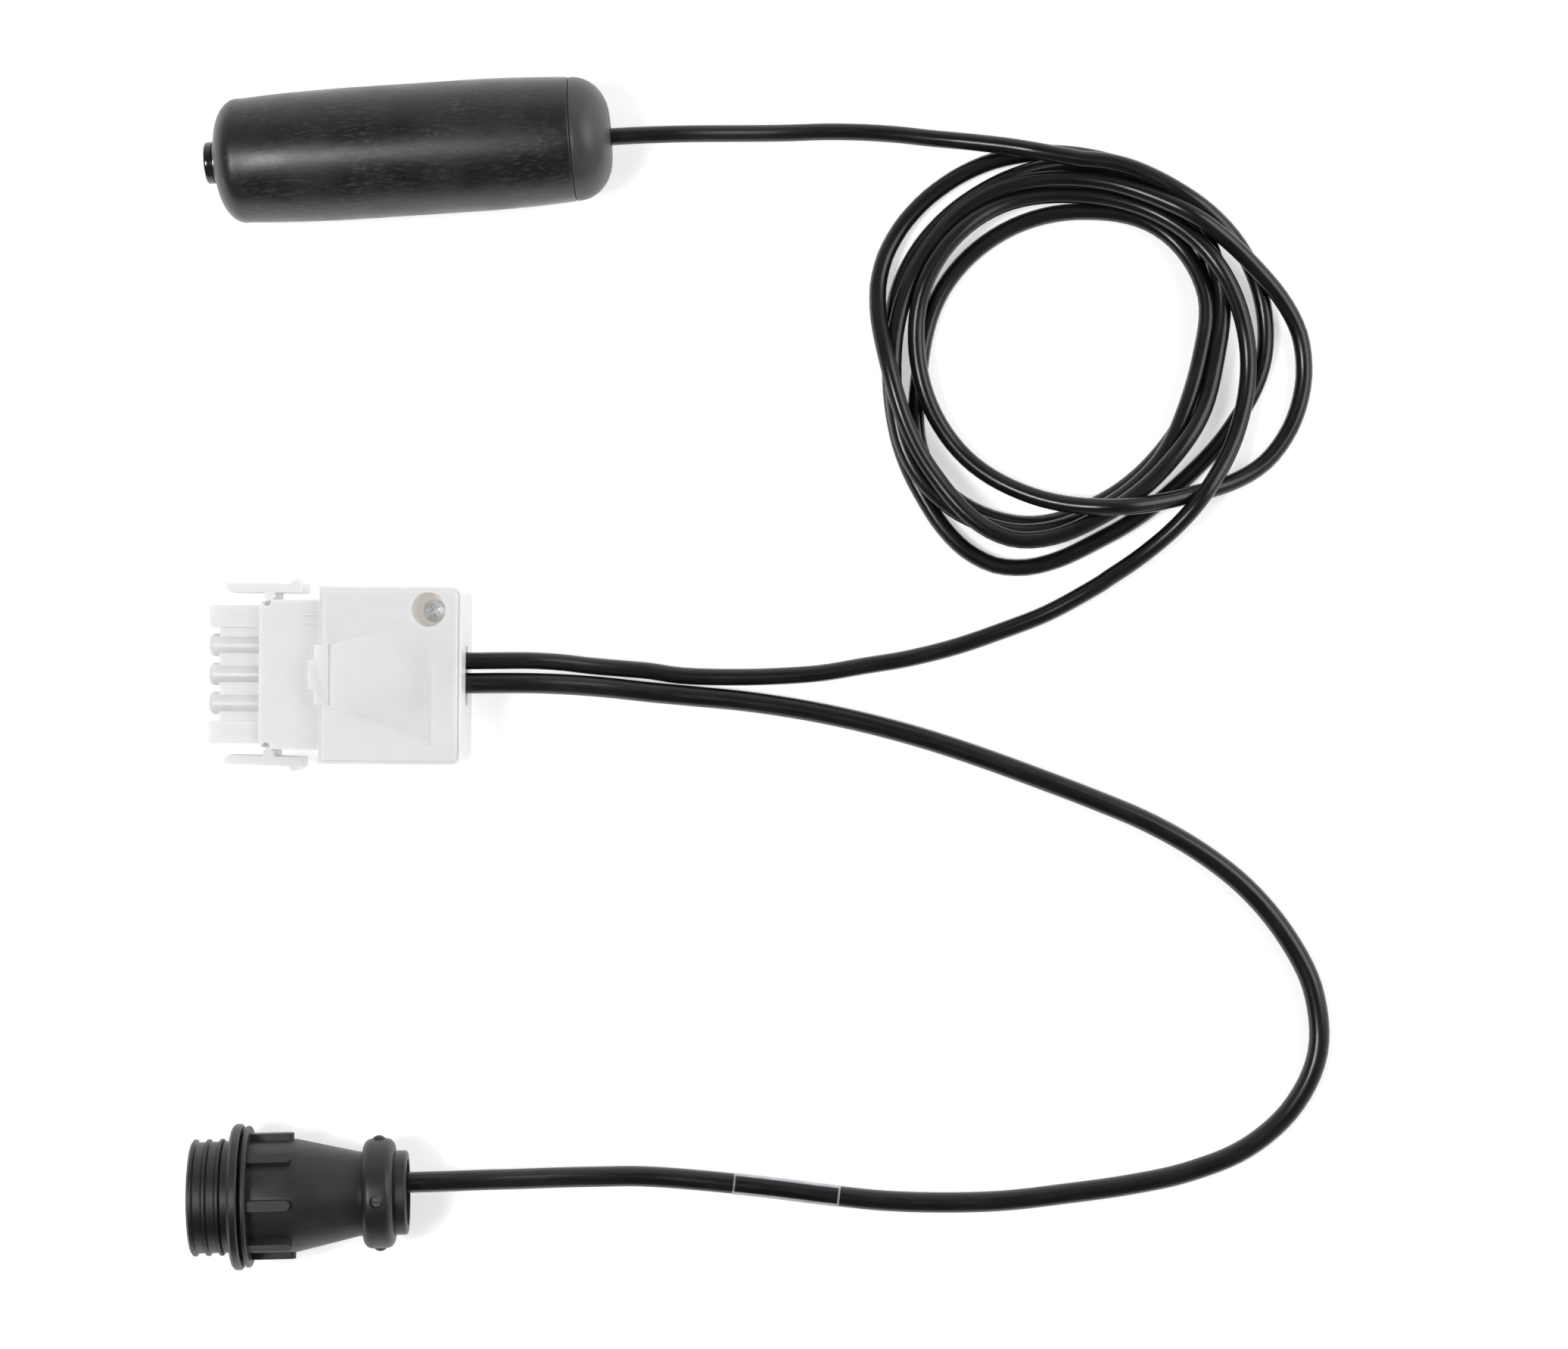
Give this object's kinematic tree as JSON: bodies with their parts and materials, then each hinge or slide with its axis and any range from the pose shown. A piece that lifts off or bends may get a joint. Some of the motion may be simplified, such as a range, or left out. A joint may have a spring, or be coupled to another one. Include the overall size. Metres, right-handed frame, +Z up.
{
  "type": "ultrasonic distance sensor with cable and connectors",
  "caption": "Round ultrasonic distance probe on a coiled cable, joined through a rectangular plug to a circular cable connector.",
  "frame": {"origin": "on the table under the middle of the probe body, nose included", "axes": "+X along the probe from its nose to its cable, +Z up from the table, +Y to the left of the cable's direction"},
  "size_m": [0.2612, 0.2584, 0.0318],
  "materials": {
    "sleeve_rubber": "scuffed matt black rubber",
    "cap_rubber": "smooth matt black rubber",
    "nose_plastic": "glossy black",
    "bright_ring": "bright",
    "can_metal": "satin",
    "ceramic": "matt",
    "foam": "matt foam",
    "liner_plastic": "matt",
    "board": "solder resist",
    "components": "matt",
    "wire": "satin",
    "cable_jacket": "satin black PVC",
    "nylon": "translucent natural nylon",
    "zinc_screw": "zinc plated",
    "contact_brass": "plain brass",
    "clear_film": "clear film",
    "connector_plastic": "satin black moulding",
    "insert_plastic": "matt black",
    "gasket_rubber": "matt black"
  },
  "bodies": {
    "root": {"sensor_sleeve": "sleeve_rubber", "sensor_rear_cap": "cap_rubber", "transducer_nose": "nose_plastic", "nose_ring": "bright_ring", "transducer_can": "can_metal", "piezo_disc": "ceramic", "backing_foam": "foam", "isolation_ring": "foam", "carrier_liner": "liner_plastic", "circuit_board": "board", "board_components": "components", "transducer_wires": "wire", "cable_wires": "wire", "cable_grip_ring": "liner_plastic", "sensor_cable_lead": "cable_jacket", "sensor_cable_coil": "cable_jacket", "sensor_cable_run": "cable_jacket", "plug_housing": "nylon", "cover_top": "nylon", "cover_bottom": "nylon", "cover_screws": "zinc_screw", "crimp_contacts": "contact_brass", "plug_wires": "wire", "cable_pads": "nylon", "plug_cable": "cable_jacket", "marker_sleeve": "clear_film", "receptacle_shell": "connector_plastic", "contact_insert": "insert_plastic", "pin_contacts": "contact_brass", "flange_gasket": "gasket_rubber", "funnel_backshell": "connector_plastic", "clamp_ring": "connector_plastic", "clamp_jaws": "insert_plastic", "clamp_screws": "zinc_screw", "connector_wires": "wire"},
    "latch_upper": {"latch_upper": "nylon"},
    "latch_lower": {"latch_lower": "nylon"}
  },
  "joints": [
    {"name": "latch_upper_press", "type": "hinge", "parent": "root", "child": "latch_upper", "pos_m": [-0.0364, -0.09748, 0.0125], "axis": [0, 0, -1], "range_deg": [0, 8], "stiffness_Nm_per_rad": 0.3},
    {"name": "latch_lower_press", "type": "hinge", "parent": "root", "child": "latch_lower", "pos_m": [-0.03876, -0.12919, 0.0125], "axis": [0, 0, 1], "range_deg": [0, 9], "stiffness_Nm_per_rad": 0.3}
  ]
}
